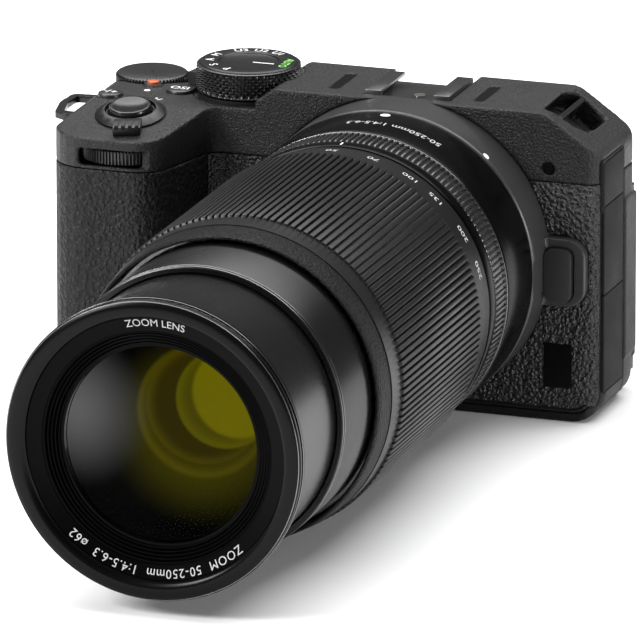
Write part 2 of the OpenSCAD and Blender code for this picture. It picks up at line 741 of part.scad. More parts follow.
front_cover();
top_cover();
rear_cover();
base_plate();
grip_rubber();
front_leather();
thumb_rest();
mount_surround();
mount_flange();
mount_screws();
contact_block();
shutter_unit();
sensor_unit();
chassis();
main_board();
battery();
tripod_bush();
case_screws();
hot_shoe();
shoe_contacts();
mic_grilles();
tally_lamp();
strap_lugs();
port_sockets();
lens_bayonet();
lens_barrel();
index_ring();
guide_tube();
rear_glass();
shutter_button();
power_lever();
ev_button();
iso_button();
record_button();
mode_dial();
photo_video_lever();
command_dial();
front_dial();
lens_release_button();
lock_pin();
battery_door();
door_latch();
port_cover_top();
port_cover_middle();
port_cover_low();
screen_hinge();
screen_case();
screen_glass();
play_button();
menu_button();
multi_selector();
ok_button();
focus_ring();
zoom_ring();
tube_outer();
tube_inner();
front_ring();
name_ring();
front_glass();
aperture_unit();
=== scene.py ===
import math

import bmesh
import bpy
import numpy as np
from mathutils import Matrix, Vector


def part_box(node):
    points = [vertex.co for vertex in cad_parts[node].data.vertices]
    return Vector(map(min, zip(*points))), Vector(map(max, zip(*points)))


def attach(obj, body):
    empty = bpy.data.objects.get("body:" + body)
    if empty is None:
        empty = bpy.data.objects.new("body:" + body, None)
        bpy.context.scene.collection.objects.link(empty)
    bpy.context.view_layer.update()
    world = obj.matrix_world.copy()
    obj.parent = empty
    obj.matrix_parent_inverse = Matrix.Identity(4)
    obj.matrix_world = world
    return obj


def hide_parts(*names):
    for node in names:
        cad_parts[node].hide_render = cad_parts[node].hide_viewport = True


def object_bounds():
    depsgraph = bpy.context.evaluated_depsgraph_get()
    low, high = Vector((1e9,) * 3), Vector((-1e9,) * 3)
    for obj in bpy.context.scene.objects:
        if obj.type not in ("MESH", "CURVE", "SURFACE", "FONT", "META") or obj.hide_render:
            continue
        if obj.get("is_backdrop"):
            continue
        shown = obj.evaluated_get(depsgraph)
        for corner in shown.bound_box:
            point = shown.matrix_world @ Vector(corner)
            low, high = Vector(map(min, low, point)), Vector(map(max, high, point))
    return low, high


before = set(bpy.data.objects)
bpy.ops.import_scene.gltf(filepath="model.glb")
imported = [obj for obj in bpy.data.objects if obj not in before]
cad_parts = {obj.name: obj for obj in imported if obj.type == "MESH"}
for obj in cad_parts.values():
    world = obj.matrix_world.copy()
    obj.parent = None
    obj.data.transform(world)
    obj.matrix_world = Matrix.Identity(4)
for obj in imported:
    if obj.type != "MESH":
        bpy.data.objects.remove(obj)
cad_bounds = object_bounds()
MM = 0.001
MODE_AT = (-42.6, 2.0)
COMMAND_AT = (-69.1, 9.4)
EV_AT = (-72.2, -11.1)
ISO_AT = (-57.8, -2.9)
RECORD_AT = (-65.2, -0.9)
KEY_TOP = 68.9        # height of the ev and iso keys
PRINT = 0.03          # how far print stands off the face under it

# ------------------------------------------------------------------ node materials


def tree(name):
    m = bpy.data.materials.new(name)
    m.use_nodes = True
    nt = m.node_tree
    bsdf = nt.nodes["Principled BSDF"]
    return m, nt, bsdf


def add(nt, kind, **props):
    n = nt.nodes.new(kind)
    for k, v in props.items():
        if k in n.inputs:
            n.inputs[k].default_value = v
        else:
            setattr(n, k, v)
    return n


def coords(nt):
    return add(nt, "ShaderNodeTexCoord").outputs["Object"]


def noise(nt, scale, detail=3.0, rough=0.6, vec=None):
    n = add(nt, "ShaderNodeTexNoise")
    n.inputs["Scale"].default_value = scale
    n.inputs["Detail"].default_value = detail
    n.inputs["Roughness"].default_value = rough
    nt.links.new(vec or coords(nt), n.inputs["Vector"])
    return n.outputs["Fac"]


def ramp(nt, fac, stops):
    n = add(nt, "ShaderNodeValToRGB")
    e = n.color_ramp.elements
    while len(e) < len(stops):
        e.new(0.5)
    for i, (p, c) in enumerate(stops):
        e[i].position = p
        e[i].color = c if len(c) == 4 else (*c, 1)
    nt.links.new(fac, n.inputs["Fac"])
    return n.outputs["Color"]


def spread(nt, fac, lo, hi, a=0.0, b=1.0):
    n = add(nt, "ShaderNodeMapRange")
    n.inputs["From Min"].default_value = a
    n.inputs["From Max"].default_value = b
    n.inputs["To Min"].default_value = lo
    n.inputs["To Max"].default_value = hi
    nt.links.new(fac, n.inputs["Value"])
    return n.outputs["Result"]


def bump(nt, bsdf, height, depth_mm, strength=1.0, under=None):
    n = add(nt, "ShaderNodeBump")
    n.inputs["Strength"].default_value = strength
    n.inputs["Distance"].default_value = depth_mm * MM
    nt.links.new(height, n.inputs["Height"])
    if under:
        nt.links.new(under, n.inputs["Normal"])
    nt.links.new(n.outputs["Normal"], bsdf.inputs["Normal"])
    return n.outputs["Normal"]


def grey(v, warm=0.0):
    return (v * (1 + warm), v, v * (1 - warm * 0.6), 1)


def grained(name, base, rough, grain=3200, depth=0.05, metal=0.0, spec=0.4, vary=0.12, fleck=0.25):
    """A satin or moulded surface with a fine stipple."""
    m, nt, b = tree(name)
    g = noise(nt, grain, 2.0, 0.7)
    wide = noise(nt, 90, 3.0)
    b.inputs["Base Color"].default_value = grey(base)
    tone = ramp(nt, g, [(0.3, grey(base * (1 - fleck))), (0.7, grey(base * (1 + fleck)))])
    nt.links.new(tone, b.inputs["Base Color"])
    nt.links.new(spread(nt, wide, rough * (1 - vary), rough * (1 + vary), 0.3, 0.7), b.inputs["Roughness"])
    b.inputs["Metallic"].default_value = metal
    b.inputs["Specular IOR Level"].default_value = spec
    if depth:
        bump(nt, b, g, depth)
    return m


def leather(name, base, cell, depth, rough, spec=0.5):
    """Moulded rubber with an irregular pebble grain."""
    m, nt, b = tree(name)
    at = coords(nt)
    warp = add(nt, "ShaderNodeTexNoise")
    warp.inputs["Scale"].default_value = cell * 0.55
    warp.inputs["Detail"].default_value = 2.0
    nt.links.new(at, warp.inputs["Vector"])
    mix = add(nt, "ShaderNodeVectorMath", operation="MULTIPLY_ADD")
    mix.inputs[1].default_value = (1.3 / cell,) * 3
    nt.links.new(warp.outputs["Color"], mix.inputs[0])
    nt.links.new(at, mix.inputs[2])
    heights = []
    for k, w in ((1.0, 0.35), (1.9, 0.3)):
        v = add(nt, "ShaderNodeTexVoronoi", feature="SMOOTH_F1")
        v.inputs["Scale"].default_value = cell * k
        v.inputs["Smoothness"].default_value = w
        nt.links.new(mix.outputs[0], v.inputs["Vector"])
        heights.append(spread(nt, v.outputs["Distance"], 1.0, 0.0, 0.05, 0.75))
    both = add(nt, "ShaderNodeMath", operation="MULTIPLY_ADD")
    nt.links.new(heights[1], both.inputs[0])
    both.inputs[1].default_value = 0.35
    nt.links.new(heights[0], both.inputs[2])
    fine = noise(nt, cell * 6, 2.0)
    tall = add(nt, "ShaderNodeMath", operation="MULTIPLY_ADD")
    nt.links.new(fine, tall.inputs[0])
    tall.inputs[1].default_value = 0.12
    nt.links.new(both.outputs[0], tall.inputs[2])
    nt.links.new(ramp(nt, both.outputs[0], [(0.35, grey(base * 0.45)), (1.0, grey(base * 1.5))]),
                 b.inputs["Base Color"])
    nt.links.new(spread(nt, both.outputs[0], rough + 0.12, rough, 0.3, 1.1), b.inputs["Roughness"])
    b.inputs["Specular IOR Level"].default_value = spec
    bump(nt, b, tall.outputs[0], depth)
    return m


def turned(name, base, rough, metal=0.0, spec=0.5):
    """A smooth machined or painted surface with slightly uneven gloss."""
    m, nt, b = tree(name)
    wide = noise(nt, 60, 2.0)
    fine = noise(nt, 5200, 1.0)
    b.inputs["Base Color"].default_value = grey(base)
    nt.links.new(ramp(nt, fine, [(0.3, grey(base * 0.85)), (0.7, grey(base * 1.15))]), b.inputs["Base Color"])
    nt.links.new(spread(nt, wide, rough * 0.94, rough * 1.06, 0.3, 0.7), b.inputs["Roughness"])
    b.inputs["Metallic"].default_value = metal
    b.inputs["Specular IOR Level"].default_value = spec
    bump(nt, b, fine, 0.004)
    return m


def ink(name, rgb, rough=0.45):
    """Flat print or a plain glossy face."""
    m, nt, b = tree(name)
    g = noise(nt, 4000, 1.0)
    c = (*rgb, 1)
    dim = tuple(x * 0.92 for x in rgb) + (1,)
    nt.links.new(ramp(nt, g, [(0.3, dim), (0.7, c)]), b.inputs["Base Color"])
    b.inputs["Roughness"].default_value = rough
    return m


def clear(name, tint, rough, ior):
    """See-through glass."""
    m, nt, b = tree(name)
    b.inputs["Base Color"].default_value = (*tint, 1)
    b.inputs["Roughness"].default_value = rough
    b.inputs["IOR"].default_value = ior
    b.inputs["Transmission Weight"].default_value = 1.0
    return m


M = {
    "cover": grained("cover_stipple", 0.005, 0.40, 1700, 0.420, spec=0.32, fleck=0.5),
    "panel": grained("cover_fine", 0.008, 0.48, 2000, 0.260, spec=0.16, fleck=0.4),
    "leather": leather("leather_pebble", 0.008, 1000, 0.68, 0.36, 0.55),
    "grip": leather("grip_rubber_grain", 0.005, 900, 0.30, 0.44, 0.26),
    "surround": grained("surround_satin", 0.024, 0.32, 4200, 0.018, spec=0.40),
    "gloss": turned("barrel_gloss", 0.001, 0.24, spec=0.07),
    "rubber": grained("ring_rubber", 0.006, 0.36, 3800, 0.020, spec=0.24),
    "focus": grained("focus_rubber", 0.012, 0.26, 3800, 0.012, spec=0.60),
    "lip": grained("lip_stipple", 0.004, 0.42, 1500, 0.550, spec=0.12, fleck=0.9),
    "tube": turned("tube_satin", 0.004, 0.27, spec=0.30),
    "front": turned("front_black", 0.002, 0.24, spec=0.12),
    "edge": turned("edge_bright", 0.20, 0.25, metal=1.0),
    "control": turned("control_black", 0.006, 0.34, spec=0.30),
    "knurl": grained("knurl_black", 0.012, 0.30, 5000, 0.010, spec=0.50),
    "button": turned("button_metal", 0.020, 0.22, metal=0.6),
    "key": grained("key_satin", 0.011, 0.36, 5000, 0.012, spec=0.45),
    "red": ink("record_red", (0.42, 0.07, 0.012), 0.35),
    "steel": turned("mount_steel", 0.72, 0.22, metal=1.0),
    "shoe": grained("shoe_steel", 0.10, 0.30, 4200, 0.012, metal=0.9),
    "lug": grained("lug_steel", 0.035, 0.30, 4200, 0.012, metal=0.8),
    "frame": grained("inner_frame", 0.42, 0.45, 2600, 0.02, metal=0.9),
    "screw": grained("screw_black", 0.12, 0.30, 5000, 0.01, metal=0.9),
    "gold": turned("contact_gold", 0.6, 0.25, metal=1.0),
    "board": ink("circuit_green", (0.02, 0.13, 0.05), 0.4),
    "battery": grained("battery_case", 0.06, 0.5),
    "port": grained("port_rubber", 0.012, 0.60, 3000, 0.07, spec=0.06),
    "lamp": ink("lamp_window", (0.003, 0.003, 0.003), 0.10),
    "black": grained("inner_black", 0.002, 0.60, 5000, 0.01, spec=0.06),
    "name": grained("name_ring_black", 0.0008, 0.34, 6000, 0.004, spec=0.05),
    "sensor": ink("sensor_face", (0.05, 0.07, 0.12), 0.12),
    "white": ink("mark_white", (0.80, 0.80, 0.80)),
    "pale": ink("mark_grey", (0.50, 0.50, 0.50)),
    "green": ink("mark_green", (0.20, 0.62, 0.10)),
    "panel_glass": ink("screen_panel", (0.008, 0.008, 0.010), 0.06),
    "glass": clear("lens_glass", (1, 1, 1), 0.0, 1.06),
}
M["gold"].node_tree.nodes["Principled BSDF"].inputs["Specular Tint"].default_value = (1.0, 0.8, 0.45, 1)

# ------------------------------------------------------------------ mesh helpers


def lens(v):
    """Local (x, up, ahead of the flange) to the row frame, in mm."""
    return np.stack([v[:, 0], -25.0 - v[:, 2], 37.8 + v[:, 1]], 1)


def upright(cx, cy):
    return lambda v: v + np.array([cx, cy, 0.0])


TILT = math.radians(10)
SHUTTER = np.array([-63.3, -21.9, 66.783])


def shutter(v):
    c, s = math.cos(TILT), math.sin(TILT)
    return np.stack([v[:, 0], v[:, 1] * c - v[:, 2] * s, v[:, 1] * s + v[:, 2] * c], 1) + SHUTTER


def finish_mesh(obj, mat, body, stands_for=(), sharp=32):
    obj.data.materials.clear()
    obj.data.materials.append(mat)
    obj.data.shade_smooth()
    if sharp:
        obj.data.set_sharp_from_angle(angle=math.radians(sharp))
    if obj.name not in bpy.context.scene.collection.objects:
        bpy.context.scene.collection.objects.link(obj)
    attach(obj, body)
    if stands_for:
        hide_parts(*stands_for)
    return obj


def build(name, verts, faces, mat, body, slot=None, stands_for=(), sharp=32):
    me = bpy.data.meshes.new(name)
    me.from_pydata([tuple(v) for v in np.asarray(verts) * MM], [], faces)
    me.validate()
    bm = bmesh.new()
    bm.from_mesh(me)
    bmesh.ops.recalc_face_normals(bm, faces=bm.faces)
    bm.to_mesh(me)
    bm.free()
    obj = bpy.data.objects.new(name, me)
    return finish_mesh(obj, mat, body, stands_for, sharp)


def grid_faces(n, m, wrap_n=True, wrap_m=False):
    """Quads of an n by m grid of points, point (i, j) at i * m + j."""
    out = []
    for i in range(n if wrap_n else n - 1):
        for j in range(m if wrap_m else m - 1):
            a, b = i * m + j, i * m + (j + 1) % m
            c, d = ((i + 1) % n) * m + (j + 1) % m, ((i + 1) % n) * m + j
            out.append((a, b, c, d))
    return out


def lathe(name, profile, place, mat, body, segs=192, closed=True, **kw):
    """profile is (radius, height) points; a radius of 0 at an end closes it with a cap."""
    ends = [0 if profile[0][0] == 0 else None, 0 if profile[-1][0] == 0 else None]
    pts = [p for p in profile if p[0] > 0]
    t = np.linspace(0, 2 * math.pi, segs, endpoint=False)
    r = np.array([p[0] for p in pts])
    h = np.array([p[1] for p in pts])
    v = np.stack([np.outer(np.sin(t), r), np.outer(np.cos(t), r), np.tile(h, (segs, 1))], 2).reshape(-1, 3)
    m = len(pts)
    capped = any(e is not None for e in ends)
    faces = grid_faces(segs, m, True, closed and not capped)
    extra = []
    for side, e in enumerate(ends):
        if e is None:
            continue
        at = len(v) + len(extra)
        extra.append((0, 0, profile[0][1] if side == 0 else profile[-1][1]))
        j = 0 if side == 0 else m - 1
        faces += [(at, i * m + j, ((i + 1) % segs) * m + j) for i in range(segs)]
    if extra:
        v = np.concatenate([v, np.array(extra, float)])
    return build(name, place(v), faces, mat, body, **kw)


def toothed(name, rows, count, tooth, place, mat, body, **kw):
    """rows are (crest radius, height, groove depth); tooth is one pitch as (phase, share of the depth)."""
    t = np.array([(k + p) / count for k in range(count) for p, _ in tooth]) * 2 * math.pi
    g = np.array([d for _ in range(count) for _, d in tooth])
    r = np.array([row[0] for row in rows])[None, :] - g[:, None] * np.array([row[2] for row in rows])[None, :]
    h = np.tile(np.array([row[1] for row in rows]), (len(t), 1))
    v = np.stack([np.sin(t)[:, None] * r, np.cos(t)[:, None] * r, h], 2).reshape(-1, 3)
    return build(name, place(v), grid_faces(len(t), len(rows), True, True), mat, body, **kw)


def diamonds(name, radius, z0, z1, count, rows, depth, place, mat, body, inner, **kw):
    """A ring with a diamond knurl on its outside and a plain bore."""
    steps, per = 8, 6
    n, m = count * steps, rows * per + 1
    a = np.arange(n) / steps
    q = np.linspace(0, rows, m)
    tri = lambda x: np.abs((x % 1.0) * 2 - 1)
    d = np.minimum(tri(a[:, None] + q[None, :]), tri(a[:, None] - q[None, :]))
    edge = np.clip(np.minimum(q, rows - q) / 0.35, 0, 1)[None, :]
    r = radius - depth * (1 - d * 1.0) * edge - 0.25 * (1 - edge) * depth
    r = np.concatenate([np.full((n, 1), inner), np.full((n, 1), radius - depth - 0.35), r,
                        np.full((n, 1), radius - depth - 0.35), np.full((n, 1), inner)], 1)
    hh = np.concatenate([[z0 - 0.35, z0 - 0.35], np.linspace(z0, z1, m), [z1 + 0.35, z1 + 0.35]])
    t = a / count * 2 * math.pi
    v = np.stack([np.sin(t)[:, None] * r, np.cos(t)[:, None] * r, np.tile(hh, (n, 1))], 2).reshape(-1, 3)
    return build(name, place(v), grid_faces(n, len(hh), True, True), mat, body, **kw)


def copy_of(node, name):
    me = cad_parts[node].data.copy()
    me.name = name
    bm = bmesh.new()
    bm.from_mesh(me)
    bmesh.ops.remove_doubles(bm, verts=bm.verts, dist=2e-6)
    bm.to_mesh(me)
    bm.free()
    obj = bpy.data.objects.new(name, me)
    bpy.context.scene.collection.objects.link(obj)
    return obj


def bake(obj):
    bpy.context.view_layer.update()
    dg = bpy.context.evaluated_depsgraph_get()
    me = bpy.data.meshes.new_from_object(obj.evaluated_get(dg), depsgraph=dg)
    obj.modifiers.clear()
    obj.data = me
    if me.has_custom_normals:
        bpy.context.view_layer.objects.active = obj
    return obj


def clear_normals(obj):
    me = obj.data
    for a in ("custom_normal", "sharp_edge", "sharp_face"):
        if a in me.attributes:
            me.attributes.remove(me.attributes[a])


def soft(node, mat, body, voxel, rounds, keep, edit=None):
    """A copy of a moulded CAD part with its edges softened."""
    obj = copy_of(node, node + "_look")
    r = obj.modifiers.new("r", "REMESH")
    r.mode = "VOXEL"
    r.voxel_size = voxel * MM
    s = obj.modifiers.new("s", "SMOOTH")
    s.factor = 0.5
    s.iterations = rounds
    if keep < 1:
        d = obj.modifiers.new("d", "DECIMATE")
        d.ratio = keep
    bake(obj)
    clear_normals(obj)
    if edit:
        n = len(obj.data.vertices)
        co = np.zeros(n * 3)
        obj.data.vertices.foreach_get("co", co)
        co = edit(co.reshape(-1, 3) / MM) * MM
        obj.data.vertices.foreach_set("co", co.ravel())
    return finish_mesh(obj, mat, body, (node,), sharp=50)


def crisp(node, mat, body, width=0.25, segments=2):
    """A copy of a CAD part with narrow rounded edges."""
    obj = copy_of(node, node + "_look")
    clear_normals(obj)
    bm = bmesh.new()
    bm.from_mesh(obj.data)
    bmesh.ops.dissolve_limit(bm, angle_limit=math.radians(1.0), verts=bm.verts, edges=bm.edges)
    bm.to_mesh(obj.data)
    bm.free()
    b = obj.modifiers.new("b", "BEVEL")
    b.width = width * MM
    b.segments = segments
    b.limit_method = "ANGLE"
    b.angle_limit = math.radians(38)
    b.use_clamp_overlap = True
    b.harden_normals = False
    bake(obj)
    return finish_mesh(obj, mat, body, (node,), sharp=45)


def plain(node, mat):
    """The CAD part itself, with its finish."""
    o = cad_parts[node]
    o.data.materials.clear()
    o.data.materials.append(mat)


def letters(text, size, bold=0.0, spacing=1.0):
    """Flat outline letters as a mesh in mm, centred on its width: vertices and faces."""
    cu = bpy.data.curves.new("t", "FONT")
    cu.body = text
    cu.size = size
    cu.offset = bold
    cu.space_character = spacing
    cu.align_x = "CENTER"
    cu.align_y = "CENTER"
    cu.resolution_u = 3
    ob = bpy.data.objects.new("t", cu)
    bpy.context.scene.collection.objects.link(ob)
    bpy.context.view_layer.update()
    me = bpy.data.meshes.new_from_object(ob)
    bm = bmesh.new()
    bm.from_mesh(me)
    bmesh.ops.triangulate(bm, faces=bm.faces)
    long_edges = [e for e in bm.edges if e.calc_length() > size * 0.35]
    bmesh.ops.subdivide_edges(bm, edges=long_edges, cuts=1)
    bmesh.ops.triangulate(bm, faces=bm.faces)
    v = np.array([x.co[:] for x in bm.verts]).reshape(-1, 3)
    f = [tuple(y.index for y in x.verts) for x in bm.faces]
    bm.free()
    bpy.data.objects.remove(ob)
    return v, f


def wrap(name, shapes, surface, mat, body):
    """Joins flat shapes, each put on a surface by its own function, into one piece."""
    vs, fs, at = [], [], 0
    for (v, f), put in shapes:
        vs.append(put(v))
        fs += [tuple(i + at for i in t) for t in f]
        at += len(v)
    me = bpy.data.meshes.new(name)
    me.from_pydata([tuple(x) for x in surface(np.concatenate(vs)) * MM], [], fs)
    obj = bpy.data.objects.new(name, me)
    return finish_mesh(obj, mat, body, (), sharp=None)


def bar(w, h):
    """A flat bar, w wide and h tall."""
    v = [(w * (i - 0.5), h * (j - 0.5), 0) for i in (0, 1) for j in (0, 1)]
    return np.array(v, float), [(0, 2, 3, 1)]


def dot(r, n=20):
    t = np.linspace(0, 2 * math.pi, n, endpoint=False)
    v = np.concatenate([[[0, 0, 0]], np.stack([r * np.cos(t), r * np.sin(t), 0 * t], 1)])
    return v, [(0, 1 + i, 1 + (i + 1) % n) for i in range(n)]


def round_barrel(r, a, s):
    """Puts a flat shape on a barrel of radius r, tops towards the front of the lens."""
    def put(v):
        rr = r(s + v[:, 1]) if callable(r) else r
        t = math.radians(a) - v[:, 0] / (rr if np.isscalar(rr) else rr.mean())
        return np.stack([rr * np.sin(t), rr * np.cos(t), s + v[:, 1]], 1)
    return put


def round_face(r, a, s):
    """Puts a flat shape on a face square to the lens axis, tops outwards."""
    def put(v):
        t = math.radians(a) + v[:, 0] / r
        rr = r + v[:, 1]
        return np.stack([rr * np.sin(t), rr * np.cos(t), s(rr)], 1)
    return put


def flat_on(x, y, z, turn=0.0):
    """Puts a flat shape level at height z, its top towards +Y turned by turn degrees."""
    c, s = math.cos(math.radians(turn)), math.sin(math.radians(turn))
    return lambda v: np.stack([x + v[:, 0] * c - v[:, 1] * s, y + v[:, 0] * s + v[:, 1] * c,
                               z + 0 * v[:, 0]], 1)


same = lambda v: v

# ------------------------------------------------------------------ body shells

CORNER = (41.5, 7.0)


def corner(v):
    """Rounds the shell's lower outer corner as seen from the front."""
    v = v.copy()
    dx, dz = np.maximum(v[:, 0] - CORNER[0], 0), np.maximum(CORNER[1] - v[:, 2], 0)
    far = np.hypot(dx, dz)
    on = (dx > 0) & (dz > 0)
    k = np.where(on, np.maximum(dx, dz) / np.where(far > 0, far, 1), 1.0)
    v[:, 0] = np.where(on, CORNER[0] + dx * k, v[:, 0])
    v[:, 2] = np.where(on, CORNER[1] - dz * k, v[:, 2])
    return v


soft("top_cover", M["cover"], "root", 0.40, 4, 0.35)
soft("front_cover", M["panel"], "root", 0.40, 3, 0.30, edit=corner)
soft("rear_cover", M["panel"], "root", 0.45, 4, 0.25, edit=corner)
soft("base_plate", M["panel"], "root", 0.45, 3, 0.25, edit=corner)
soft("grip_rubber", M["grip"], "root", 0.36, 3, 0.35)
soft("front_leather", M["leather"], "root", 0.36, 2, 0.35, edit=corner)
soft("thumb_rest", M["grip"], "root", 0.40, 4, 0.4)
soft("screen_case", M["panel"], "screen", 0.40, 3, 0.3)
soft("strap_lugs", M["lug"], "root", 0.20, 3, 0.5)
crisp("hot_shoe", M["shoe"], "root", 0.18)
crisp("lens_release_button", M["key"], "lens_release", 0.7, 4)
for n in ("top", "middle", "low"):
    crisp(f"port_cover_{n}", M["port"], f"port_cover_{n}", 0.25)
soft("mount_surround", M["surround"], "root", 0.30, 3, 0.4)

for node, mat in (("mount_flange", "steel"), ("mount_screws", "steel"), ("contact_block", "gold"),
                  ("shutter_unit", "black"), ("sensor_unit", "sensor"), ("chassis", "frame"),
                  ("main_board", "board"), ("battery", "battery"), ("tripod_bush", "screw"),
                  ("case_screws", "screw"), ("shoe_contacts", "gold"), ("mic_grilles", "black"),
                  ("tally_lamp", "lamp"), ("port_sockets", "screw"), ("lens_bayonet", "steel"),
                  ("guide_tube", "frame"), ("rear_glass", "glass"), ("lock_pin", "steel"),
                  ("battery_door", "panel"), ("door_latch", "key"), ("screen_hinge", "key"),
                  ("screen_glass", "panel_glass"), ("play_button", "key"), ("menu_button", "key"),
                  ("multi_selector", "key"), ("ok_button", "key"), ("aperture_unit", "black")):
    plain(node, M[mat])

# ------------------------------------------------------------------ lens

lathe("lens_barrel_look", [(32.6, 0.05), (35.1, 0.05), (35.5, 0.2), (35.85, 0.5), (36.0, 0.9), (36.0, 17.8),
      (35.9, 18.2), (35.6, 18.58), (34.42, 18.6), (34.42, 2.1), (32.6, 2.1)], lens, M["gloss"], "root",
      segs=256, slot="gloss_barrel", stands_for=("lens_barrel",))
toothed("focus_ring_look", [(34.5, 18.72, 0), (35.35, 18.72, 0), (35.75, 18.85, 0), (35.8, 19.05, 0),
        (35.75, 19.2, 0.45), (35.8, 19.5, 0.5), (35.8, 26.0, 0.5), (35.6, 26.3, 0.3), (35.3, 26.48, 0),
        (34.5, 26.48, 0)], 165, [(0.0, 1), (0.3, 1), (0.45, 0.1), (0.6, 0), (0.8, 0.1)], lens, M["focus"],
        "focus_ring", slot="ring_rubber", stands_for=("focus_ring",))
lathe("index_ring_look", [(34.45, 26.62), (35.4, 26.62), (35.65, 26.75), (35.7, 27.0), (35.7, 30.1),
      (35.6, 30.35), (35.4, 30.48), (34.45, 30.48)], lens, M["gloss"], "root", segs=256,
      slot="gloss_barrel", stands_for=("index_ring",))
toothed("zoom_ring_look", [(34.5, 30.62, 0), (35.2, 30.62, 0), (35.4, 30.8, 0), (36.4, 40.6, 0),
        (36.45, 41.2, 0), (36.55, 41.55, 0), (36.95, 41.75, 0.4), (37.1, 42.1, 0.75), (37.1, 96.5, 0.75),
        (36.95, 96.9, 0.6), (36.45, 97.15, 0), (36.4, 103.3, 0), (34.65, 103.4, 0), (34.65, 97, 0)], 141,
        [(0.0, 1), (0.22, 1), (0.30, 0.10), (0.36, 0), (0.86, 0), (0.92, 0.10)], lens, M["rubber"],
        "zoom_ring", slot="ring_rubber", stands_for=("zoom_ring",))
lathe("zoom_lip", [(34.65, 103.45), (36.2, 103.5), (36.25, 103.8), (35.7, 109.0), (35.5, 109.8),
      (35.2, 110.15), (34.8, 110.15), (34.65, 109.9)], lens, M["lip"], "zoom_ring", segs=256,
      slot="ring_rubber")
lathe("tube_outer_look", [(31.85, 58.8), (33.6, 58.8), (33.6, 127.2), (33.5, 127.5), (33.3, 127.55),
      (33.3, 127.9), (33.5, 127.95), (33.6, 128.15), (33.5, 128.6), (33.2, 128.8), (32.2, 128.8),
      (32.0, 128.5), (31.85, 128.0)], lens, M["tube"], "tube_outer", segs=256, slot="tube_satin",
      stands_for=("tube_outer",))
lathe("tube_inner_look", [(30.2, 81.4), (31.8, 81.4), (31.8, 155.4), (31.55, 155.5), (31.5, 156.4),
      (30.2, 156.4)], lens, M["tube"], "tube_inner", segs=256, slot="tube_satin", stands_for=("tube_inner",))
thread = [(30.98 if k % 2 else 30.66, 160.35 - 0.19 * k) for k in range(11)]
lathe("front_ring_look", [(27.0, 156.45), (33.7, 156.45), (34.1, 156.6), (34.3, 156.9), (34.3, 157.7),
      (34.15, 157.85), (33.4, 157.95), (33.4, 158.75), (34.1, 158.85), (34.3, 159.0), (34.3, 159.6),
      (34.1, 160.0), (33.5, 160.4), (32.7, 160.62), (31.6, 160.65), (31.1, 160.6)] + thread
      + [(30.3, 158.36), (30.2, 158.2), (30.2, 156.95), (27.0, 156.95)], lens, M["front"], "tube_inner",
      segs=256, slot="tube_satin", stands_for=("front_ring",), sharp=25)
EDGE = 0.09           # radius of a polished edge
edge_turn = np.linspace(0, 2 * math.pi, 8, False)
for name, body, radius, at in (("barrel_edge", "root", 35.72, 18.5),
                               ("tube_outer_edge", "tube_outer", 33.52, 127.5),
                               ("tube_outer_lip", "tube_outer", 33.5, 128.62),
                               ("front_edge_rear", "tube_inner", 34.24, 157.78),
                               ("front_edge_middle", "tube_inner", 34.2, 158.94),
                               ("front_edge_face", "tube_inner", 33.95, 160.14)):
    lathe(name, [(radius + EDGE * math.cos(q), at + EDGE * math.sin(q)) for q in edge_turn],
          lens, M["edge"], body, segs=256, slot="satin_ring")
ridges = []
for k in range(5):
    r, s = 26.5 - 0.75 * k, 156.95 - 0.36 * k
    ridges += [(r, s), (r - 0.12, s + 0.10), (r - 0.30, s + 0.08), (r - 0.38, s - 0.50)]
lathe("name_ring_look", [(30.1, 156.96), (30.1, 158.28), (29.95, 158.3), (27.1, 157.35), (26.8, 157.25),
      (26.7, 157.0)] + ridges + [(22.5, 155.0), (22.5, 148.4), (25, 148.4), (25, 155.0), (26.6, 156.95)],
      lens, M["name"], "tube_inner", segs=256, slot="inner_black", stands_for=("name_ring",), sharp=20)


def reflection_disc(nt, x, z, r, blur):
    """1 inside a circle seen along the lens axis, fading to 0 over its edge; the mask of one painted
    reflection.
    """
    sep = add(nt, "ShaderNodeSeparateXYZ")
    nt.links.new(coords(nt), sep.inputs[0])
    parts = []
    for axis, at in (("X", x), ("Z", z)):
        off = add(nt, "ShaderNodeMath", operation="SUBTRACT")
        off.inputs[1].default_value = at * MM
        nt.links.new(sep.outputs[axis], off.inputs[0])
        sq = add(nt, "ShaderNodeMath", operation="MULTIPLY")
        nt.links.new(off.outputs[0], sq.inputs[0])
        nt.links.new(off.outputs[0], sq.inputs[1])
        parts.append(sq.outputs[0])
    total = add(nt, "ShaderNodeMath", operation="ADD")
    nt.links.new(parts[0], total.inputs[0])
    nt.links.new(parts[1], total.inputs[1])
    far = add(nt, "ShaderNodeMath", operation="SQRT")
    nt.links.new(total.outputs[0], far.inputs[0])
    out = spread(nt, far.outputs[0], 1.0, 0.0, (r - blur) * MM, (r + blur) * MM)
    out.node.interpolation_type = "SMOOTHSTEP"
    return out


def painted_reflection_glass(name, patches):
    """Dark glass with painted reflections that glow: each patch is (colour, x, z, radius, softness), one
    painted reflection laid over the one before.
    """
    m, nt, b = tree(name)
    colour = None
    for rgb, x, z, r, blur in patches:
        mix = add(nt, "ShaderNodeMix", data_type="RGBA")
        nt.links.new(reflection_disc(nt, x, z, r, blur), mix.inputs["Factor"])
        if colour:
            nt.links.new(colour, mix.inputs[6])
        else:
            mix.inputs[6].default_value = (0.0008, 0.0008, 0.0008, 1)
        mix.inputs[7].default_value = (*rgb, 1)
        colour = mix.outputs[2]
    b.inputs["Base Color"].default_value = (0.0004, 0.0004, 0.0004, 1)
    # the painted reflections drive the emission, so this glass glows though it is no lamp
    nt.links.new(colour, b.inputs["Emission Color"])
    b.inputs["Emission Strength"].default_value = 1.0
    b.inputs["Roughness"].default_value = 0.6
    b.inputs["Specular IOR Level"].default_value = 0.0
    return m


def cap(r, edge, rise, n=10):
    return [(r * (1 - k / n), edge + rise * (1 - (1 - k / n) ** 2)) for k in range(n + 1)]
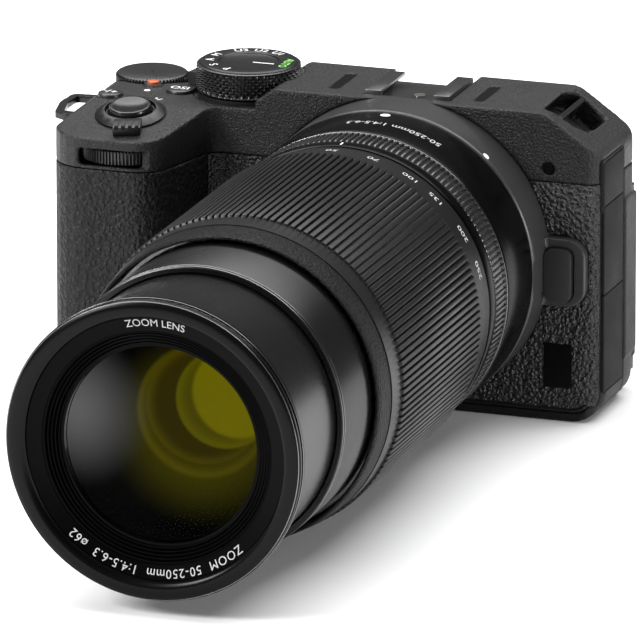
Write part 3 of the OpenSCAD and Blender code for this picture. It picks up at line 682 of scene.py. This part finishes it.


# painted reflections on the inner glass: olive circles for light off the coated inner elements, the last a
# grey painted reflection at the left
PAINTED_REFLECTIONS = [((0.034, 0.031, 0.0005), 9.0, 42, 16, 7.5), ((0.062, 0.052, 0.001), 9.5, 46, 14.8, 0.7),
           ((0.034, 0.029, 0.0006), 9.9, 46.6, 13.9, 1.2), ((0.062, 0.050, 0.001), 9.9, 47.6, 13.2, 0.4),
           ((0.024, 0.018, 0.001), 10.4, 47.8, 12.6, 1.8), ((0.085, 0.078, 0.001), 14.6, 49.2, 11, 0.4),
           ((0.050, 0.045, 0.001), 15.2, 49.8, 10.4, 1.8), ((0.122, 0.110, 0.0008), 17.6, 51, 10.3, 0.6),
           ((0.105, 0.105, 0.108), -20, 44, 9, 10)]
lathe("front_glass_look", [(22.45, 150.4)] + cap(22.45, 154.8, 2.2), lens, M["glass"], "tube_inner",
      segs=128, slot="lens_glass", stands_for=("front_glass",), closed=False)
lathe("inner_wall", [(22.4, 150.0), (22.4, 149.6), (19.0, 138), (17.0, 130), (30.0, 130), (30.0, 150)],
      lens, M["black"], "tube_inner", segs=128, slot="inner_black")
# inner glass that shows the painted reflections as glowing colour
lathe("second_glass", cap(22.35, 152.9, 1.9), lens, painted_reflection_glass("glass_painted_reflections", PAINTED_REFLECTIONS), "tube_inner", segs=128,
      slot="lens_glass", closed=False)

# ------------------------------------------------------------------ controls

lathe("shutter_button_look", [(0, 2.0), (2.6, 2.12), (3.9, 2.5), (4.35, 2.6), (4.7, 2.52), (4.97, 2.1),
      (5, 1.6), (5, -1.5), (0, -1.5)], shutter, M["button"], "shutter_button", segs=96, slot="control_metal",
      stands_for=("shutter_button",))
crisp("power_lever", M["control"], "power_lever", 0.25, 3)
c75, s75 = math.cos(math.radians(-75)), math.sin(math.radians(-75))
ribs, rib_faces = [], []
for k in range(4):
    y = -2.4 + 1.6 * k
    block = np.array([(x, yy, z) for x in (8.9, 12.0) for yy in (y - 0.42, y + 0.42) for z in (1.6, 2.45)])
    block[:, 0] = np.where((block[:, 0] > 11) & (block[:, 2] > 2), 11.6, block[:, 0])
    ribs.append(np.stack([block[:, 0] * c75 - block[:, 1] * s75, block[:, 0] * s75 + block[:, 1] * c75,
                          block[:, 2]], 1))
    rib_faces += [tuple(i + 8 * k for i in f) for f in
                  ((0, 1, 3, 2), (4, 6, 7, 5), (0, 4, 5, 1), (2, 3, 7, 6), (0, 2, 6, 4), (1, 5, 7, 3))]
build("power_lever_ribs", shutter(np.concatenate(ribs)), rib_faces, M["control"], "power_lever",
      slot="control_metal", sharp=30)
for node, body, c, r, top, mat in (("ev_button", "ev_button", EV_AT, 2.9, KEY_TOP, "key"),
                                   ("iso_button", "iso_button", ISO_AT, 3.1, KEY_TOP, "key"),
                                   ("record_button", "record_button", RECORD_AT, 1.4, 69.6, "red")):
    lathe(node + "_look", [(0, top), (r * 0.5, top - 0.04), (r * 0.8, top - 0.14), (r * 0.95, top - 0.3),
          (r, top - 0.6), (r, 65.8), (0, 65.8)], upright(*c), M[mat], body, segs=72,
          slot="record_red" if mat == "red" else "key_plastic", stands_for=(node,))
diamonds("mode_dial_look", 12.4, 69.2, 75.0, 44, 4, 1.0, upright(*MODE_AT), M["knurl"], "mode_dial",
         inner=9.0, slot="control_metal", stands_for=("mode_dial",))
lathe("mode_dial_top", [(0, 75.15), (6.6, 75.15), (6.9, 75.25), (7.1, 75.5), (7.3, 75.6), (10.9, 75.6),
      (11.35, 75.52), (11.6, 75.3), (11.5, 68.85), (0, 68.85)], upright(*MODE_AT), M["control"], "mode_dial",
      segs=128, slot="control_metal")
crisp("photo_video_lever", M["key"], "photo_video_lever", 0.2)
toothed("command_dial_look", [(0.3, 66.15, 0), (8.2, 66.15, 0), (8.5, 66.3, 0.3), (8.6, 66.6, 0.45),
        (8.6, 68.2, 0.45), (8.3, 68.6, 0.2), (7.9, 68.8, 0), (0.3, 68.8, 0)], 64,
        [(0.0, 1), (0.3, 1), (0.5, 0.1), (0.75, 0), (0.9, 0.3)], upright(*COMMAND_AT), M["knurl"],
        "command_dial", slot="control_metal", stands_for=("command_dial",))
front_dial = [1000 * x for x in np.array(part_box("front_dial")).mean(0)[:2]]
toothed("front_dial_look", [(1.6, 58.2, 0), (10.3, 58.2, 0), (10.8, 58.3, 0.2), (11.0, 58.5, 0.5),
        (11.0, 61.2, 0.5), (10.8, 61.4, 0.2), (10.3, 61.5, 0), (1.6, 61.5, 0)], 84,
        [(0.0, 1), (0.3, 1), (0.5, 0.15), (0.6, 0), (0.85, 0.1)], upright(*front_dial), M["knurl"],
        "front_dial", slot="control_metal", stands_for=("front_dial",))

# ------------------------------------------------------------------ lettering and marks

cone = lambda s: 35.45 + (s - 30.8) * 0.102
zoom_marks = [(letters(t, 3.0), round_barrel(cone, a, 35.2))
              for t, a in (("50", -1.5), ("70", 14.5), ("100", 30), ("135", 42), ("200", 58), ("250", 72.5))]
wrap("zoom_numbers", zoom_marks, lens, M["pale"], "zoom_ring")
wrap("zoom_index", [(bar(0.35, 1.9), round_barrel(35.74, -1.4, 28.6))], lens, M["white"], "root")
wrap("barrel_words", [(letters("50-250mm 1:4.5-6.3", 2.9), round_barrel(36.04, 9.0, 10.0)),
                      (dot(1.2), round_barrel(36.04, 1.6, 3.0))], lens, M["pale"], "root")
slope = lambda r: 158.33 + (r - 29.95) * 0.333
wrap("name_words", [(letters("ZOOM LENS", 2.5), round_face(28.55, 0, slope)),
                    (letters("ZOOM  50-250mm  1:4.5-6.3  ø62", 2.75, spacing=1.12),
                     round_face(28.55, 180, slope))],
     lens, M["pale"], "tube_inner")
DIAL_TOP = 75.6


def on_dial(angle, radius):
    """A place on the mode dial's face, letter tops outwards."""
    x = MODE_AT[0] + radius * math.sin(math.radians(angle))
    y = MODE_AT[1] + radius * math.cos(math.radians(angle))
    return flat_on(x, y, DIAL_TOP + PRINT, -angle)


MODES = (("M", -75), ("A", -105), ("S", -135), ("P", -165), ("U1", 30), ("U2", 0), ("U3", -30))
mode_text = [(letters(word, 2.9, 0.02), on_dial(angle, 9.0)) for word, angle in MODES]
wrap("mode_letters", mode_text, same, M["white"], "mode_dial")
wrap("mode_auto", [(letters("AUTO", 2.7, 0.03), on_dial(90, 9.1))], same, M["green"], "mode_dial")
wrap("mode_index", [(bar(0.5, 5.2), flat_on(MODE_AT[0] + 3.6, MODE_AT[1], 75.19, -90))],
     same, M["white"], "mode_dial")
wrap("key_words", [(letters("ISO", 3.1, 0.02), flat_on(*ISO_AT, KEY_TOP + PRINT, 180))],
     same, M["white"], "iso_button")
GRIP_TOP = 68.0
wrap("power_marks", [(dot(0.75), flat_on(-65.4, -4.6, GRIP_TOP + PRINT)),
                     (bar(0.3, 1.6), flat_on(-59.9, -11.4, GRIP_TOP + PRINT, -40)),
                     (dot(0.35), flat_on(-60.9, -10.6, GRIP_TOP + PRINT))], same, M["white"], "root")
wrap("exposure_mark", [(letters("+/-", 3.2, 0.02), flat_on(*EV_AT, KEY_TOP + PRINT, 180))],
     same, M["white"], "ev_button")

build("badge_plate", np.array([(x, y, z) for x in (34.7, 41.5) for y in (-13.12, -12.9) for z in (8.0, 18.5)]),
      [(0, 1, 3, 2), (4, 6, 7, 5), (0, 4, 5, 1), (2, 3, 7, 6), (0, 2, 6, 4), (1, 5, 7, 3)], M["gloss"], "root",
      slot="gloss_barrel", sharp=30)
wrap("mount_index", [(dot(0.85), round_barrel(36.14, 41.4, -1.6))], lens, M["white"], "root")

# ------------------------------------------------------------------ floor, light, camera

bpy.ops.mesh.primitive_plane_add(size=14, location=(0, 0, -0.0002))
floor = bpy.context.object
floor.name = "floor"
fm, fnt, fb = tree("floor_paper")
fb.inputs["Base Color"].default_value = (0.86, 0.86, 0.86, 1)
fb.inputs["Roughness"].default_value = 0.9
nt_c = ramp(fnt, noise(fnt, 6, 2.0), [(0.3, (0.85, 0.85, 0.85, 1)), (0.7, (0.88, 0.88, 0.88, 1))])
fnt.links.new(nt_c, fb.inputs["Base Color"])
floor.data.materials.append(fm)
floor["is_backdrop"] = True

world = bpy.data.worlds.new("studio")
bpy.context.scene.world = world
world.use_nodes = True
world.node_tree.nodes["Background"].inputs["Color"].default_value = (0.95, 0.97, 1.0, 1)
world.node_tree.nodes["Background"].inputs["Strength"].default_value = 0.12


def area(name, at, aim, size, watts, rgb=(1, 1, 1)):
    d = bpy.data.lights.new(name, "AREA")
    d.shape = "RECTANGLE"
    d.size, d.size_y = size
    d.energy = watts
    d.color = rgb
    o = bpy.data.objects.new(name, d)
    bpy.context.scene.collection.objects.link(o)
    o.location = at
    o.rotation_euler = (Vector(aim) - Vector(at)).to_track_quat("-Z", "Y").to_euler()
    return o


area("overhead", (0.0, 0.55, 1.7), (0, 0.15, 0), (2.6, 2.0), 88)
area("key_left", (-1.05, -1.0, 0.95), (0, -0.10, 0.05), (0.6, 0.6), 34)
area("strip_right", (1.35, -0.42, 0.30), (0, -0.03, 0.04), (0.22, 0.5), 12)

cam_data = bpy.data.cameras.new("photo_view")
cam_data.lens = 693.9
cam_data.sensor_width = 36
cam_data.clip_end = 60
cam = bpy.data.objects.new("photo_view", cam_data)
bpy.context.scene.collection.objects.link(cam)
azimuth, elevation, distance = math.radians(18.86), math.radians(16.12), 2.876
target = Vector((-0.0227, -0.0050, 0.01637))
cam.location = target + distance * Vector((math.sin(azimuth) * math.cos(elevation),
                                           -math.cos(azimuth) * math.cos(elevation), math.sin(elevation)))
cam.rotation_euler = (target - cam.location).to_track_quat("-Z", "Y").to_euler()
bpy.context.scene.camera = cam
bpy.context.scene.view_settings.view_transform = "Standard"

bpy.context.view_layer.update()
plain_bounds = lambda b: [[float(x) for x in corner] for corner in b]
{"cad": plain_bounds(cad_bounds), "visual": plain_bounds(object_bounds())}
